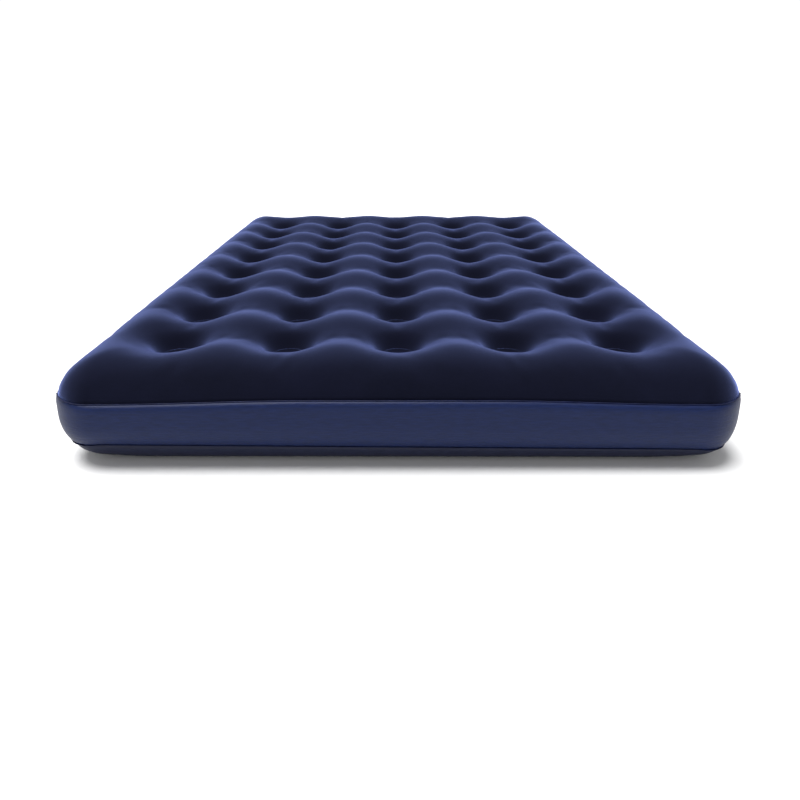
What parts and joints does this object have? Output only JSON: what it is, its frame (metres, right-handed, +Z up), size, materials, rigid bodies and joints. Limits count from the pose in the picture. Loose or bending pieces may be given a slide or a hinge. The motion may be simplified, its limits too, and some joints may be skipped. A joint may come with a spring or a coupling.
{
  "type": "air mattress",
  "caption": "Inflated double air mattress: dimpled velvety top, smooth side band, plain base, inner coil tubes and a screw-in valve.",
  "frame": {"origin": "bottom centre of the inflated bed, on the floor under the middle of the base", "axes": "+Z up; X across the width; Y along the length, with the valve on the +Y end and the end nearest the viewer at -Y"},
  "size_m": [1.37, 1.9194, 0.22],
  "materials": {
    "flocked_pvc": "matte",
    "band_pvc": "satin",
    "base_pvc": "matte",
    "coil_pvc": "satin",
    "valve_pvc": "satin",
    "insert_plastic": "satin",
    "flap_pvc": "satin",
    "cap_pvc": "satin",
    "seal_rubber": "matte"
  },
  "bodies": {
    "root": {"bottom_panel": "base_pvc", "side_band": "band_pvc", "valve_base": "valve_pvc", "coil_r1_c1": "coil_pvc", "coil_r1_c2": "coil_pvc", "coil_r1_c3": "coil_pvc", "coil_r1_c4": "coil_pvc", "coil_r1_c5": "coil_pvc", "coil_r2_c1": "coil_pvc", "coil_r2_c2": "coil_pvc", "coil_r2_c3": "coil_pvc", "coil_r2_c4": "coil_pvc", "coil_r2_c5": "coil_pvc", "coil_r3_c1": "coil_pvc", "coil_r3_c2": "coil_pvc", "coil_r3_c3": "coil_pvc", "coil_r3_c4": "coil_pvc", "coil_r3_c5": "coil_pvc", "coil_r4_c1": "coil_pvc", "coil_r4_c2": "coil_pvc", "coil_r4_c3": "coil_pvc", "coil_r4_c4": "coil_pvc", "coil_r4_c5": "coil_pvc", "coil_r5_c1": "coil_pvc", "coil_r5_c2": "coil_pvc", "coil_r5_c3": "coil_pvc", "coil_r5_c4": "coil_pvc", "coil_r5_c5": "coil_pvc", "coil_r6_c1": "coil_pvc", "coil_r6_c2": "coil_pvc", "coil_r6_c3": "coil_pvc", "coil_r6_c4": "coil_pvc", "coil_r6_c5": "coil_pvc", "coil_r7_c1": "coil_pvc", "coil_r7_c2": "coil_pvc", "coil_r7_c3": "coil_pvc", "coil_r7_c4": "coil_pvc", "coil_r7_c5": "coil_pvc", "coil_r8_c1": "coil_pvc", "coil_r8_c2": "coil_pvc", "coil_r8_c3": "coil_pvc", "coil_r8_c4": "coil_pvc", "coil_r8_c5": "coil_pvc"},
    "top": {"top_panel": "flocked_pvc"},
    "seal": {"valve_seal": "seal_rubber"},
    "insert": {"valve_insert": "insert_plastic", "valve_strap": "cap_pvc"},
    "flap": {"valve_flap": "flap_pvc"},
    "cap": {"valve_cap": "cap_pvc"}
  },
  "joints": [
    {"name": "top_sink", "type": "slide", "parent": "root", "child": "top", "axis": [0, 0, -1], "range_m": [0, 0.03], "stiffness_N_per_m": 15000, "deforming": ["coil_r1_c1", "coil_r1_c2", "coil_r1_c3", "coil_r1_c4", "coil_r1_c5", "coil_r2_c1", "coil_r2_c2", "coil_r2_c3", "coil_r2_c4", "coil_r2_c5", "coil_r3_c1", "coil_r3_c2", "coil_r3_c3", "coil_r3_c4", "coil_r3_c5", "coil_r4_c1", "coil_r4_c2", "coil_r4_c3", "coil_r4_c4", "coil_r4_c5", "coil_r5_c1", "coil_r5_c2", "coil_r5_c3", "coil_r5_c4", "coil_r5_c5", "coil_r6_c1", "coil_r6_c2", "coil_r6_c3", "coil_r6_c4", "coil_r6_c5", "coil_r7_c1", "coil_r7_c2", "coil_r7_c3", "coil_r7_c4", "coil_r7_c5", "coil_r8_c1", "coil_r8_c2", "coil_r8_c3", "coil_r8_c4", "coil_r8_c5"]},
    {"name": "valve_unscrew", "type": "slide", "parent": "root", "child": "seal", "axis": [0, 1, 0], "range_m": [0, 0.036]},
    {"name": "valve_turn", "type": "hinge", "parent": "seal", "child": "insert", "pos_m": [-0.47, 0.955, 0.088], "axis": [0, 1, 0], "range_deg": [0, 1080]},
    {"name": "flap_swing", "type": "hinge", "parent": "insert", "child": "flap", "pos_m": [-0.47, 0.9387, 0.0998], "axis": [-1, 0, 0], "range_deg": [0, 75]},
    {"name": "cap_swing", "type": "hinge", "parent": "insert", "child": "cap", "pos_m": [-0.4438, 0.963, 0.088], "axis": [0, 0, -1], "range_deg": [0, 150]}
  ],
  "couplings": [
    {"joint": "valve_turn", "follows": "valve_unscrew", "rad_per_m": 523.6}
  ]
}
